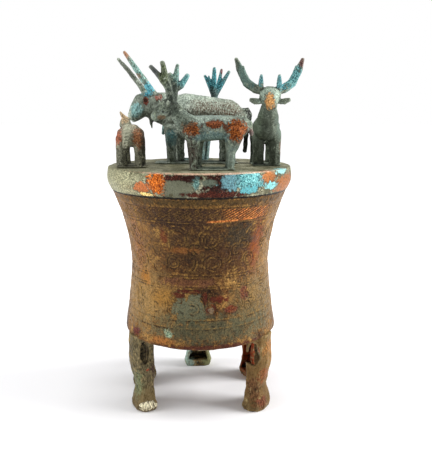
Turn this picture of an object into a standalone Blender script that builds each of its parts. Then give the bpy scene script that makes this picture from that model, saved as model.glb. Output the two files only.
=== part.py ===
"""Lidded bronze container on hollow feet, with five cast animals on its lid.

The waisted round barrel is cast in one with its feet. One foot of the ring is
lost and leaves a low broken stub. A cap-like lid with a deep rim rests on the
mouth and drops a short flange into it. On the lid an ox stands amid three
stags and a doe, each on its own thin base plate.

Units are metres and +Z is up. The feet stand on the plane Z = 0.
"""

import math

import bmesh
import bpy
from mathutils import Vector

MM = 0.001

# Overall frame
AXIS_X = -3.1 * MM
SEAT_GAP = 0.3 * MM

# Barrel
BARREL_TOP = 222.0 * MM
BARREL_UNDERSIDE = 78.5 * MM
MOUTH_RADIUS = 86.5 * MM
WAIST_RADIUS = 70.0 * MM
WAIST_HEIGHT = 150.0 * MM
HEEL_RADIUS = 78.2 * MM
HEEL_ROUNDING = 2.6 * MM
WALL = 3.0 * MM
FLOOR = 3.5 * MM
SHOULDER_FLARE = 1.75
HEEL_FLARE = 1.5
TURNED_SEGMENTS = 42

# Feet, whose bearings around the barrel were never quite even
FOOT_BEARINGS = (29.5, 93.0, 160.0, 210.0)
LOST_FOOT_BEARING = 274.0
FOOT_RING_RADIUS = 68.0 * MM
KNEE_WIDTH = 26.0 * MM
KNEE_DEPTH = 23.0 * MM
KNEE_HEIGHT = 51.0 * MM
THIGH_FLARE = 1.6 * MM
SHANK_WIDTH = 23.0 * MM
SHANK_DEPTH = 15.5 * MM
SHANK_HEIGHT = 24.0 * MM
PAW_WIDTH = 32.5 * MM
PAW_DEPTH = 22.0 * MM
PAW_HEIGHT = 10.0 * MM
FOOT_WALL = 4.2 * MM
FOOT_SIDES = 10
OUTER_SQUARENESS = 2.4
INNER_SQUARENESS = 4.5
HOLLOW_BOTTOM = 7.5 * MM
WINDOW_HEIGHT = 25.0 * MM
WINDOW_WIDTH = 9.5 * MM
WINDOW_MIDDLE = 63.5 * MM
WINDOW_OUTWARD = 2.6 * MM
WORN_FOOT_BEARING = 328.5
WORN_FOOT_BULK = 1.1
WORN_WINDOW_WIDTH = 13.5 * MM
WORN_WINDOW_DROP = 2.8 * MM
BREAK_HEIGHT = 11.0 * MM
BREAK_MIDDLE = 55.5 * MM
CLEFT_DEPTH = 2.6 * MM
CLEFT_WIDTH = 3.0 * MM
CLEFT_SPACING = 10.5 * MM
STUB_WIDTH = 30.0 * MM
STUB_DEPTH = 15.0 * MM
STUB_DROP = 1.4 * MM

# Lid
LID_RADIUS = 90.4 * MM
LID_HEIGHT = 22.2 * MM
LID_BULGE = 0.8 * MM
LID_EDGE_ROUNDING = 2.4 * MM
LID_FOOT_RADIUS = 87.2 * MM
LID_PLATE = 3.0 * MM
LID_WALL = 3.2 * MM
FLANGE_CLEARANCE = 0.8 * MM
FLANGE_DEPTH = 8.0 * MM
FLANGE_WALL = 2.4 * MM

# Animals: heights of their backs. Each is drawn on a grid that divides its back height into equal steps
FRONT_STAG_BACK_HEIGHT = 48.0 * MM
RIGHT_STAG_BACK_HEIGHT = 48.0 * MM
BACK_STAG_BACK_HEIGHT = 43.0 * MM
OX_BACK_HEIGHT = 66.0 * MM
DOE_BACK_HEIGHT = 41.0 * MM
STAG_STEP_COUNT = 48
OX_STEP_COUNT = 66
DOE_STEP_COUNT = 41
ANIMAL_PLATE = 1.2 * MM
PLATE_SINK = 0.7 * MM
END_ROUNDING = 0.45
END_SHARE = 0.62

# Places on the lid: distance from its middle as a share of its radius, bearing and heading in degrees
FRONT_STAG_PLACE = (0.587, -78.3, 180.0)
RIGHT_STAG_PLACE = (0.718, -2.6, -90.0)
BACK_STAG_PLACE = (0.670, 97.6, -8.0)
DOE_PLACE = (0.743, 195.2, 92.0)
OX_PLACE = (0.207, 74.5, 180.0)


def clear_scene():
    """Remove what the scene holds, so that the script gives the same model each run."""
    for item in list(bpy.data.objects):
        bpy.data.objects.remove(item)


def bronze(name, colour, roughness, metallic):
    """One weathered bronze, as a plain Principled material."""
    material = bpy.data.materials.new(name)
    material.use_nodes = True
    shader = material.node_tree.nodes["Principled BSDF"]
    shader.inputs["Base Color"].default_value = (*colour, 1.0)
    shader.inputs["Roughness"].default_value = roughness
    shader.inputs["Metallic"].default_value = metallic
    material.diffuse_color = (*colour, 1.0)
    return material


def empty(name, location, heading, parent):
    """A handle that carries pieces, turned about the upright axis."""
    handle = bpy.data.objects.new(name, None)
    bpy.context.collection.objects.link(handle)
    handle.location = location
    handle.rotation_euler.z = math.radians(heading)
    handle.parent = parent
    return handle


def finish(name, bm, parent, material=None):
    """Turn a closed bmesh into an object. One without a material is a helper that only shapes others."""
    bmesh.ops.remove_doubles(bm, verts=bm.verts, dist=0.001 * MM)
    bmesh.ops.recalc_face_normals(bm, faces=bm.faces)
    mesh = bpy.data.meshes.new(name)
    bm.to_mesh(mesh)
    bm.free()
    mesh.shade_smooth()
    mesh.set_sharp_from_angle(angle=math.radians(35))
    item = bpy.data.objects.new(name, mesh)
    bpy.context.collection.objects.link(item)
    item.parent = parent
    if material:
        mesh.materials.append(material)
    else:
        item.hide_render = True
        item.display_type = "WIRE"
    return item


def combine(target, operand, operation):
    """Join an operand to the target, or cut it out of it."""
    modifier = target.modifiers.new(f"{operation.title()} {operand.name}", "BOOLEAN")
    modifier.operation = operation
    modifier.solver = "EXACT"
    modifier.object = operand


def turned(name, profile, parent, material):
    """A body turned about its own axis from a profile of (radius, height) points that begins and ends on it."""
    bm = bmesh.new()
    points = [bm.verts.new((radius, 0.0, height)) for radius, height in profile]
    edges = [bm.edges.new(pair) for pair in zip(points, points[1:])]
    bmesh.ops.spin(
        bm,
        geom=points + edges,
        cent=(0.0, 0.0, 0.0),
        axis=(0.0, 0.0, 1.0),
        angle=2 * math.pi,
        steps=TURNED_SEGMENTS,
        use_merge=True,
    )
    return finish(name, bm, parent, material)


def loft(bm, rings):
    """Skin a row of rings that have the same number of points, and close both ends."""
    skins = [[bm.verts.new(point) for point in ring] for ring in rings]
    for lower, upper in zip(skins, skins[1:]):
        for step in range(len(lower)):
            following = (step + 1) % len(lower)
            bm.faces.new((lower[step], lower[following], upper[following], upper[step]))
    bm.faces.new(list(reversed(skins[0])))
    bm.faces.new(skins[-1])


def section(centre, across, along, half_across, half_along, sides, power=2.0):
    """Points of one closed section: an ellipse at power 2, squarer above it."""
    points = []
    for step in range(sides):
        angle = 2 * math.pi * (step + 0.5) / sides
        cosine = math.cos(angle)
        sine = math.sin(angle)
        reach_across = math.copysign(abs(cosine) ** (2 / power), cosine) * half_across
        reach_along = math.copysign(abs(sine) ** (2 / power), sine) * half_along
        points.append(centre + across * reach_across + along * reach_along)
    return points


def limb(bm, grid, stations, sides=8, sideways=(0, 1, 0)):
    """One rounded limb through stations of (x, y, z, half across, half deep) on the animal's grid.

    Across is measured along the sideways direction, and deep at right angles to it and to the limb.
    """
    centres = [Vector(row[:3]) for row in stations]
    rings = []
    for index, row in enumerate(stations):
        ahead = centres[min(index + 1, len(stations) - 1)]
        behind = centres[max(index - 1, 0)]
        direction = (ahead - behind).normalized()
        across = Vector(sideways)
        across = (across - direction * across.dot(direction)).normalized()
        deep = direction.cross(across)
        ends = []
        if index == 0:
            ends = [(-END_ROUNDING, END_SHARE), (0.0, 1.0)]
        elif index == len(stations) - 1:
            ends = [(0.0, 1.0), (END_ROUNDING, END_SHARE)]
        for shift, share in ends or [(0.0, 1.0)]:
            centre = centres[index] + direction * shift * min(row[3], row[4])
            ring = section(centre, across, deep, row[3] * share, row[4] * share, sides)
            rings.append([point * grid for point in ring])
    loft(bm, rings)


def block(bm, low, high):
    """A plain box between two corners."""
    bmesh.ops.create_cube(bm, size=1.0)
    middle = (Vector(low) + Vector(high)) / 2
    size = Vector(high) - Vector(low)
    bmesh.ops.scale(bm, vec=size, verts=bm.verts)
    bmesh.ops.translate(bm, vec=middle, verts=bm.verts)


class Figure:
    """One cast animal on its base plate, fused from limbs that are drawn on a grid."""

    def __init__(self, name, grid, handle, material):
        self.name = name
        self.grid = grid
        self.handle = handle
        self.material = material
        self.body = None
        self.count = 0

    def fuse(self, bm):
        """The first shell is the body, and each later one is joined to it."""
        if self.body is None:
            self.body = finish(self.name, bm, self.handle, self.material)
            return
        self.count += 1
        shell = finish(f"{self.name}_limb_{self.count}", bm, self.handle)
        combine(self.body, shell, "UNION")

    def limb(self, stations, **options):
        """Fuse one limb."""
        bm = bmesh.new()
        limb(bm, self.grid, stations, **options)
        self.fuse(bm)

    def pair(self, stations, **options):
        """Fuse a limb and its mirror image on the other side of the animal."""
        mirrored = [(x, -y, z, across, deep) for x, y, z, across, deep in stations]
        self.limb(stations, **options)
        self.limb(mirrored, **options)

    def leg(self, x_foot, y_foot, stations, hoof):
        """Fuse one leg, whose stations are (forward of the foot, height, half across, half deep)."""
        sole = (ANIMAL_PLATE - PLATE_SINK) / self.grid
        rows = [(x_foot + x, y_foot, z, across, deep) for x, z, across, deep in stations]
        rows.append((x_foot, y_foot, sole + END_ROUNDING * min(hoof), *hoof))
        self.limb(rows, sides=6)

    def plate(self, rear, front, half_width):
        """Fuse the base plate under the feet, between two places along the animal."""
        bm = bmesh.new()
        low = (rear * self.grid, -half_width * self.grid, 0.0)
        high = (front * self.grid, half_width * self.grid, ANIMAL_PLATE)
        block(bm, low, high)
        self.fuse(bm)


def barrel_radius(height):
    """Outer radius of the barrel: a narrow waist that flares to the mouth and to the heel."""
    if height >= WAIST_HEIGHT:
        rise = (height - WAIST_HEIGHT) / (BARREL_TOP - WAIST_HEIGHT)
        return WAIST_RADIUS + (MOUTH_RADIUS - WAIST_RADIUS) * rise**SHOULDER_FLARE
    fall = (WAIST_HEIGHT - height) / (WAIST_HEIGHT - BARREL_UNDERSIDE)
    return WAIST_RADIUS + (HEEL_RADIUS - WAIST_RADIUS) * fall**HEEL_FLARE


def barrel_profile():
    """From the middle of the underside, up the outside to the mouth, and down the inside to the floor."""
    heel_top = BARREL_UNDERSIDE + HEEL_ROUNDING
    heel_middle = barrel_radius(heel_top) - HEEL_ROUNDING
    points = [(0.0, BARREL_UNDERSIDE)]
    for angle in (90, 45, 0):
        turn = math.radians(angle)
        radius = heel_middle + HEEL_ROUNDING * math.cos(turn)
        points.append((radius, heel_top - HEEL_ROUNDING * math.sin(turn)))
    lower = [heel_top + (WAIST_HEIGHT - heel_top) * share for share in (0.36, 1.0)]
    upper = [WAIST_HEIGHT + (BARREL_TOP - WAIST_HEIGHT) * share for share in (0.4, 0.72, 1.0)]
    points += [(barrel_radius(height), height) for height in lower + upper]
    floor_top = BARREL_UNDERSIDE + FLOOR
    inner = [BARREL_TOP + (floor_top - BARREL_TOP) * share for share in (0.0, 0.2, 0.5, 0.97)]
    points += [(barrel_radius(height) - WALL, height) for height in inner]
    points.append((points[-1][0] - WALL, floor_top))
    points.append((0.0, floor_top))
    return points


def foot_section(height, width, depth, radius):
    """One section of a foot: rounded on the outside of the ring, squarer on the inside."""
    outward = Vector((1, 0, 0))
    along = Vector((0, 1, 0))
    centre = Vector((radius, 0.0, height))
    rounded = section(centre, outward, along, depth / 2, width / 2, FOOT_SIDES, OUTER_SQUARENESS)
    squared = section(centre, outward, along, depth / 2, width / 2, FOOT_SIDES, INNER_SQUARENESS)
    return [near if near.x > radius else far for near, far in zip(rounded, squared)]


def foot_outline(bulk):
    """Sections of a foot, top down, as (height, width, depth, radius): thigh, knee, shank and paw."""
    root = BARREL_UNDERSIDE + 0.7 * FLOOR
    shank_radius = FOOT_RING_RADIUS - 0.07 * SHANK_DEPTH
    paw_width = PAW_WIDTH * bulk
    paw_depth = PAW_DEPTH * bulk
    return [
        (root, 0.98 * KNEE_WIDTH, 0.96 * KNEE_DEPTH, FOOT_RING_RADIUS + THIGH_FLARE),
        (KNEE_HEIGHT, KNEE_WIDTH, KNEE_DEPTH, FOOT_RING_RADIUS + THIGH_FLARE),
        (SHANK_HEIGHT, SHANK_WIDTH * bulk, SHANK_DEPTH * bulk, shank_radius),
        (1.05 * PAW_HEIGHT, 0.92 * paw_width, 0.86 * paw_depth, FOOT_RING_RADIUS),
        (0.5 * PAW_HEIGHT, paw_width, paw_depth, FOOT_RING_RADIUS),
        (0.0, 0.9 * paw_width, 0.88 * paw_depth, FOOT_RING_RADIUS),
    ]


def hollow_cutter(handle, name, bulk):
    """The channel up the inner side of a foot, which leaves a back wall and two side walls."""
    rows = [row for row in foot_outline(bulk) if row[0] > PAW_HEIGHT]
    highest = rows[0]
    lowest = rows[-1]
    rows = [(BARREL_UNDERSIDE + 2 * FLOOR, *highest[1:]), *rows[1:], (HOLLOW_BOTTOM, *lowest[1:])]
    bm = bmesh.new()
    rings = []
    for height, width, depth, radius in reversed(rows):
        inside = max(width - 2 * FOOT_WALL, 0.3 * width) / 2
        outer = radius + depth / 2 - FOOT_WALL
        inner = radius - depth
        rings.append(
            [
                Vector((inner, -inside, height)),
                Vector((outer - 0.3 * inside, -inside, height)),
                Vector((outer, -0.5 * inside, height)),
                Vector((outer, 0.5 * inside, height)),
                Vector((outer - 0.3 * inside, inside, height)),
                Vector((inner, inside, height)),
            ]
        )
    loft(bm, rings)
    return finish(name, bm, handle)


def window_cutter(handle, name, width, middle):
    """The oval window through both side walls. A wider one reaches further in towards the vessel's axis."""
    outward = Vector((1, 0, 0))
    upward = Vector((0, 0, 1))
    radius = FOOT_RING_RADIUS + WINDOW_OUTWARD - (width - WINDOW_WIDTH) / 2
    rings = []
    for side in (-1, 1):
        centre = Vector((radius, side * KNEE_WIDTH, middle))
        rings.append(section(centre, outward, upward, width / 2, WINDOW_HEIGHT / 2, 8))
    bm = bmesh.new()
    loft(bm, rings)
    return finish(name, bm, handle)


def break_cutter(handle, name):
    """The bite out of the rib between a worn window and the open inner side, on the side that faces forward."""
    bm = bmesh.new()
    low = (FOOT_RING_RADIUS - KNEE_DEPTH, -KNEE_WIDTH, BREAK_MIDDLE - BREAK_HEIGHT / 2)
    high = (FOOT_RING_RADIUS - WINDOW_OUTWARD, 0.0, BREAK_MIDDLE + BREAK_HEIGHT / 2)
    block(bm, low, high)
    return finish(name, bm, handle)


def cleft_cutter(handle, name, side, bulk):
    """A wedge that parts two toes at the outer edge of the paw."""
    tip = FOOT_RING_RADIUS + PAW_DEPTH * bulk / 2
    y_middle = side * CLEFT_SPACING / 2
    bm = bmesh.new()
    rings = []
    for height, share in ((-PAW_HEIGHT, 1.0), (0.95 * PAW_HEIGHT, 0.55)):
        root = Vector((tip - CLEFT_DEPTH * share, y_middle, height))
        left = Vector((tip + CLEFT_DEPTH, y_middle - CLEFT_WIDTH * share, height))
        right = Vector((tip + CLEFT_DEPTH, y_middle + CLEFT_WIDTH * share, height))
        rings.append([root, right, left])
    loft(bm, rings)
    return finish(name, bm, handle)


def make_foot(barrel, axis, name, bearing, worn=False):
    """One hollow foot with its windows and toes, fused to the barrel. The worn one is thicker and has a bite."""
    bulk = WORN_FOOT_BULK if worn else 1.0
    window_width = WORN_WINDOW_WIDTH if worn else WINDOW_WIDTH
    window_middle = WINDOW_MIDDLE - WORN_WINDOW_DROP if worn else WINDOW_MIDDLE
    handle = empty(f"{name}_place", (0, 0, 0), bearing, axis)
    bm = bmesh.new()
    loft(bm, [foot_section(*row) for row in reversed(foot_outline(bulk))])
    foot = finish(name, bm, handle)
    combine(foot, hollow_cutter(handle, f"{name}_hollow", bulk), "DIFFERENCE")
    combine(foot, window_cutter(handle, f"{name}_window", window_width, window_middle), "DIFFERENCE")
    if worn:
        combine(foot, break_cutter(handle, f"{name}_break"), "DIFFERENCE")
    combine(foot, cleft_cutter(handle, f"{name}_cleft_left", 1, bulk), "DIFFERENCE")
    combine(foot, cleft_cutter(handle, f"{name}_cleft_right", -1, bulk), "DIFFERENCE")
    combine(barrel, foot, "UNION")


def make_stub(barrel, axis):
    """The broken root that the lost foot left under the barrel, with an uneven lower face."""
    handle = empty("stub_place", (0, 0, 0), LOST_FOOT_BEARING, axis)
    radius = HEEL_RADIUS - HEEL_ROUNDING - STUB_DEPTH / 2
    inside_floor = BARREL_UNDERSIDE + 0.6 * FLOOR
    rows = [
        (BARREL_UNDERSIDE - STUB_DROP, 0.86 * STUB_WIDTH, 0.7 * STUB_DEPTH, radius),
        (BARREL_UNDERSIDE - 0.4 * STUB_DROP, STUB_WIDTH, STUB_DEPTH, radius),
        (inside_floor, STUB_WIDTH, STUB_DEPTH, radius),
    ]
    rings = [foot_section(*row) for row in rows]
    for ring in rings[:2]:
        for step, point in enumerate(ring):
            point.z += 0.3 * STUB_DROP * math.sin(2.7 * step + 0.5)
    bm = bmesh.new()
    loft(bm, rings)
    combine(barrel, finish("stub", bm, handle), "UNION")


def make_barrel(axis):
    """The waisted barrel with its floor, its feet and the stub of the lost foot."""
    material = bronze("Barrel bronze, olive brown patina", (0.20, 0.17, 0.10), 0.6, 0.55)
    barrel = turned("barrel", barrel_profile(), axis, material)
    for number, bearing in enumerate(FOOT_BEARINGS, start=1):
        make_foot(barrel, axis, f"foot_{number}", bearing)
    make_foot(barrel, axis, "foot_worn", WORN_FOOT_BEARING, worn=True)
    make_stub(barrel, axis)
    return barrel


def lid_profile():
    """From the middle of the top, around the rim and the flange, to the middle of the underside."""
    bottom = BARREL_TOP + SEAT_GAP
    top = bottom + LID_HEIGHT
    points = [(0.0, top)]
    for angle in (0, 45, 90):
        turn = math.radians(angle)
        radius = LID_RADIUS - LID_EDGE_ROUNDING * (1 - math.sin(turn))
        points.append((radius, top - LID_EDGE_ROUNDING * (1 - math.cos(turn))))
    points.append((LID_RADIUS + LID_BULGE, bottom + 0.5 * LID_HEIGHT))
    points.append(((LID_RADIUS + LID_FOOT_RADIUS) / 2 + 0.5 * LID_BULGE, bottom + 0.16 * LID_HEIGHT))
    flange = MOUTH_RADIUS - WALL - FLANGE_CLEARANCE
    flange_inside = flange - FLANGE_WALL
    flange_low = BARREL_TOP - FLANGE_DEPTH
    flange_foot = barrel_radius(flange_low) - WALL - FLANGE_CLEARANCE
    slope = (flange - flange_foot) if flange_foot < flange else 0.0
    points.append((LID_FOOT_RADIUS, bottom))
    points.append((flange, bottom))
    points.append((flange - slope, flange_low))
    points.append((flange_inside - slope, flange_low))
    points.append((flange_inside, bottom + 0.1 * LID_HEIGHT))
    points.append((LID_RADIUS - LID_WALL, bottom + 0.4 * LID_HEIGHT))
    points.append((LID_RADIUS - LID_WALL, top - LID_PLATE))
    points.append((0.0, top - LID_PLATE))
    return points


def make_lid(axis):
    """The lid: a cap with a deep rim and a flange that drops into the mouth."""
    material = bronze("Lid bronze, grey green patina", (0.27, 0.33, 0.26), 0.6, 0.45)
    return turned("lid", lid_profile(), axis, material)


def place_on_lid(name, place, axis):
    """A handle on the lid's top at a share of its radius, a bearing and a heading."""
    share, bearing, heading = place
    turn = math.radians(bearing)
    top = BARREL_TOP + SEAT_GAP + LID_HEIGHT + SEAT_GAP
    x_place = share * LID_RADIUS * math.cos(turn)
    y_place = share * LID_RADIUS * math.sin(turn)
    return empty(f"{name}_place", (x_place, y_place, top), heading, axis)


def stag_trunk(stag):
    """Round body, legs, tail and base plate, the same on each stag."""
    stag.limb(
        [
            (-29.5, 0, 36, 8.5, 7.5),
            (-24, 0, 36.6, 10.3, 11),
            (-11, 0, 36.9, 11.0, 11.0),
            (14, 0, 36.0, 13, 12.0),
            (22, 0, 34.8, 11.5, 11),
            (26, 0, 35, 7.5, 6.4),
        ],
        sides=10,
    )
    front_leg = [(-1, 33, 6.8, 7.9), (0.4, 23, 6.8, 6.3), (0.5, 14, 6.1, 4.6)]
    hind_leg = [(-4.5, 35, 6.2, 9.8), (-2.5, 26, 6.2, 8.2), (-0.6, 14, 5.8, 4.2)]
    for side in (-1, 1):
        stag.leg(14.2 + 1.8 * side, side * 7.7, front_leg, (6.2, 3.8))
        stag.leg(-16.6, side * 7.7, hind_leg, (6.2, 3.9))
    stag.limb([(-28, 0, 43.5, 3.3, 3.1), (-34.4, 0, 41.4, 3.3, 3.1), (-36.2, 0, 30.4, 2.6, 2.2)], sides=6)
    stag.plate(-21, 20, 13.5)


def stag_head(stag, lift=0, reach=0, brow=8.4, ear_height=57.5, droop=0):
    """Neck, head and ears.

    Lift and reach carry the head up and forward, droop lowers the muzzle, and brow is half the head's width.
    """
    neck = [
        (15, 0, 37, 12.0, 10.5),
        (25 + 0.4 * reach, 0, 43 + 0.4 * lift, 10.6, 9),
        (31 + 0.8 * reach, 0, 50 + 0.8 * lift, 6.4, 7.2),
        (36 + reach, 0, 57 + lift, 5.8, 6.2),
    ]
    head = [
        (33 + reach, 0, 58.8 + lift, 0.8 * brow, 5.8),
        (38.5 + reach, 0, 55.2 + lift, brow, 8.0),
        (44.5 + reach, 0, 50.4 + lift - 0.5 * droop, 6.8, 7.0),
        (49.5 + reach, 0, 47.2 + lift - droop, 5.6, 5.2),
        (51.4 + reach, 0, 46 + lift - droop, 5.0, 4.4),
    ]
    stag.limb(neck, sides=8)
    stag.limb(head, sides=8)
    ear = [
        (37 + reach, 0.6 * brow, ear_height - 0.5, 2.4, 2.2),
        (38 + reach, brow + 3, ear_height, 3.5, 2.0),
        (37.5 + reach, brow + 7.6, ear_height + 1.4, 2.0, 1.3),
    ]
    stag.pair(ear, sides=5, sideways=(0, 0, 1))


def make_front_stag(axis, material):
    """The stag at the front, in profile, with both antlers swept up and fanned out."""
    handle = place_on_lid("stag_front", FRONT_STAG_PLACE, axis)
    stag = Figure("stag_front", FRONT_STAG_BACK_HEIGHT / STAG_STEP_COUNT, handle, material)
    stag_trunk(stag)
    stag_head(stag)
    near_root = (35.2, 4, 59, 3.6, 4.2)
    near_fork = (37.2, 6, 71, 3.5, 4.0)
    far_root = (34.4, -4, 59, 3.6, 4.0)
    far_fork = (33, -6, 70, 3.4, 3.8)
    tines = [
        [near_root, near_fork, (44.6, 8, 80.5, 2.7, 2.8), (52.4, 9, 89, 2.1, 2.1)],
        [near_fork, (40.4, 8, 82, 3.3, 3.1), (42.2, 9.5, 92.5, 2.5, 2.3)],
        [far_root, far_fork, (31.2, -8, 83, 2.7, 3.0), (29.9, -10, 92, 1.7, 1.7)],
        [far_fork, (26.4, -8, 74.9, 2.5, 3.5), (20.6, -9, 83, 2.0, 2.2)],
        [far_fork, (35.2, -7, 78, 3.1, 3.7), (37.2, -7.5, 84, 2.1, 2.5)],
    ]
    for tine in tines:
        stag.limb(tine, sides=5)
    return stag


def make_right_stag(axis, material):
    """The stag at the right, facing forward, with wide antlers and a short brow tine on each.

    Metal fills the top of the gap between its hind legs.
    """
    handle = place_on_lid("stag_right", RIGHT_STAG_PLACE, axis)
    stag = Figure("stag_right", RIGHT_STAG_BACK_HEIGHT / STAG_STEP_COUNT, handle, material)
    stag_trunk(stag)
    stag_head(stag, lift=10.5, reach=-4, brow=10.8, ear_height=60.5, droop=1.8)
    stag.limb([(-17, 0, 26, 3.2, 8), (-17, 0, 20, 2.7, 4.6)], sides=6)
    beam = [
        (31, 5, 69.4, 3.6, 4.2),
        (30, 13.4, 71.8, 3.7, 4.7),
        (28, 21, 77, 3.6, 4.7),
        (26, 27.4, 89.6, 3.0, 3.9),
        (25, 30.8, 98.6, 1.9, 1.9),
    ]
    fork = [(27, 22.5, 82, 2.4, 2.6), (27, 24, 88.5, 2.0, 2.0), (27.5, 24.4, 92, 1.3, 1.2)]
    brow_tine = [(32, 8.5, 70, 2.8, 3.2), (34, 8.4, 78, 2.6, 2.6), (35, 8.2, 83.5, 1.6, 1.5)]
    for tine in (beam, fork, brow_tine):
        stag.pair(tine, sides=5, sideways=(1, 0, 0))
    return stag


def make_back_stag(axis, material):
    """The smaller stag at the back, in profile the other way, with a close fan of tines."""
    handle = place_on_lid("stag_back", BACK_STAG_PLACE, axis)
    stag = Figure("stag_back", BACK_STAG_BACK_HEIGHT / STAG_STEP_COUNT, handle, material)
    stag_trunk(stag)
    stag_head(stag, reach=-8, lift=4)
    near_root = (26.8, -4, 62, 3.0, 3.2)
    near_fork = (26.6, -5, 77, 3.0, 3.2)
    far_root = (27.4, 4, 62, 3.0, 3.2)
    far_fork = (28.6, 5, 77, 3.0, 3.2)
    tines = [
        [near_root, near_fork, (22, -7, 89, 2.7, 2.8), (17, -8, 99, 1.9, 1.9)],
        [near_fork, (28, -7, 94, 3.1, 3.5), (28.4, -8, 107.5, 2.1, 2.2)],
        [far_root, far_fork, (37.5, 7, 93, 2.9, 3.1), (44.5, 8, 104.5, 2.1, 2.1)],
        [far_fork, (32.5, 7, 93, 2.6, 2.7), (35.4, 8, 107, 1.8, 1.8)],
        [near_fork, (24, -8, 89, 1.7, 1.8), (21.8, -9, 98.6, 1.2, 1.2)],
    ]
    for tine in tines:
        stag.limb(tine, sides=5)
    return stag


def make_ox(axis, material):
    """The large humped ox in the middle, with its head lowered and long horns swept up."""
    handle = place_on_lid("ox", OX_PLACE, axis)
    ox = Figure("ox", OX_BACK_HEIGHT / OX_STEP_COUNT, handle, material)
    body = [
        (-41.5, 0, 46.5, 8.0, 8.5),
        (-37, 0, 44.5, 12.6, 15.0),
        (-28, 0, 44, 15.2, 19.3),
        (-6, 0, 44.7, 16.4, 21.9),
        (21, 0, 47.3, 16.2, 23.0),
        (33, 0, 47, 13.5, 18.8),
        (39.5, 0, 46, 9.0, 13.0),
    ]
    neck = [(26, 0, 50, 12.5, 19), (44, 0, 55.4, 11.0, 16.8), (58, 0, 58.5, 8.8, 12.4)]
    head = [
        (54.5, 0, 62, 8.4, 10.4),
        (61, 0, 58.6, 9.2, 12.4),
        (66.4, 0, 52.8, 8.0, 10.2),
        (70.4, 0, 47.8, 6.5, 7.6),
        (72.6, 0, 45, 5.8, 6.0),
    ]
    ox.limb(body, sides=12)
    ox.limb(neck, sides=8)
    ox.limb(head, sides=8)
    front_leg = [(-1, 36, 6.8, 9.5), (0.6, 24, 6.2, 6.2), (0.6, 12, 5.6, 4.8)]
    hind_leg = [(-4, 36, 6.8, 10.0), (-1, 24, 6.4, 6.4), (0, 12, 5.6, 4.6)]
    ox.leg(33, 9, front_leg, (6.3, 4.8))
    ox.leg(25, -9, front_leg, (6.3, 4.8))
    ox.leg(-27, 9, hind_leg, (6.3, 4.8))
    ox.leg(-20, -9, hind_leg, (6.3, 4.8))
    tail = [
        (-37, 0, 51, 3.6, 3.8),
        (-44.5, 0, 53.2, 3.3, 3.3),
        (-46.4, 0, 47.8, 3.1, 3.0),
        (-43.4, 0, 36, 3.1, 3.0),
        (-41.6, 0, 11, 2.6, 2.4),
    ]
    ox.limb(tail, sides=6)
    near_horn = [
        (51, 5, 69, 4.2, 4.4),
        (59, 7.5, 81, 3.4, 3.6),
        (68.5, 9.5, 95, 2.8, 2.9),
        (77.6, 10.5, 108, 1.9, 1.8),
    ]
    far_horn = [
        (57, -5, 66, 3.6, 3.8),
        (67.4, -7.5, 81, 2.9, 2.9),
        (77.4, -9.5, 93, 2.6, 2.5),
        (86.6, -10.5, 103.4, 1.8, 1.7),
    ]
    ox.limb(near_horn, sides=6)
    ox.limb(far_horn, sides=6)
    ear = [(51, 7, 63, 2.8, 3.3), (47, 12, 64, 4.0, 2.5), (44, 15.5, 64.5, 2.0, 1.5)]
    ox.pair(ear, sides=5, sideways=(0.5, 0, 1))
    ox.limb([(54, 2, 44, 2.2, 2.2), (53.4, 2, 38, 1.8, 1.8), (52.8, 2, 34, 1.2, 1.1)], sides=6)
    ox.plate(-34, 50, 14.6)
    return ox


def make_doe(axis, material):
    """The low antlerless animal at the left, seen from behind, with a broad tail and its head turned out."""
    handle = place_on_lid("doe_left", DOE_PLACE, axis)
    doe = Figure("doe_left", DOE_BACK_HEIGHT / DOE_STEP_COUNT, handle, material)
    body = [
        (-21, 0, 30, 8.5, 7),
        (-16.5, 0, 29.4, 13.2, 11.2),
        (-5, 0, 28.8, 13.6, 11.2),
        (6, 0, 28, 12.0, 9.6),
        (14, 0, 27.4, 10.6, 8.6),
        (18.5, 0, 27.6, 7.0, 5.6),
    ]
    doe.limb(body, sides=8)
    front_leg = [(-1.5, 26, 5.4, 6.0), (-1, 14, 5.2, 4.6)]
    hind_leg = [(0, 28, 6.0, 7.6), (0, 14, 6.0, 5.0)]
    for side in (-1, 1):
        doe.leg(13, side * 7.4, front_leg, (5.3, 4.1))
        doe.leg(-15, side * 8.5, hind_leg, (5.9, 4.4))
    neck = [(11, 1, 30, 6.6, 7), (16, 4.5, 36, 5.2, 6), (19, 7, 41.5, 4.4, 4.8)]
    head = [(16.5, 5.5, 42.8, 4.2, 4.2), (21, 8, 41.6, 4.8, 4.8), (27, 11.8, 36.8, 3.0, 2.8)]
    left_ear = [(17.5, 6.2, 42.5, 3.1, 3.3), (17.2, 8.9, 46.5, 2.5, 2.7), (16.8, 11.8, 51, 1.0, 1.0)]
    right_ear = [(19, 4, 43, 2.2, 2.2), (23.5, 3.2, 44.4, 1.8, 1.8), (26.5, 2.8, 45, 1.0, 1.0)]
    tail = [(-19, 2.5, 38, 3.8, 3.0), (-23.8, 3.2, 32, 4.1, 2.4), (-25, 4.2, 18.5, 3.2, 2.3)]
    doe.limb(neck, sides=8)
    doe.limb(head, sides=8)
    doe.limb(left_ear, sides=5, sideways=(1, 0, 0))
    doe.limb(right_ear, sides=5)
    doe.limb(tail, sides=6)
    doe.plate(-20, 18, 13.8)
    return doe


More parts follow.
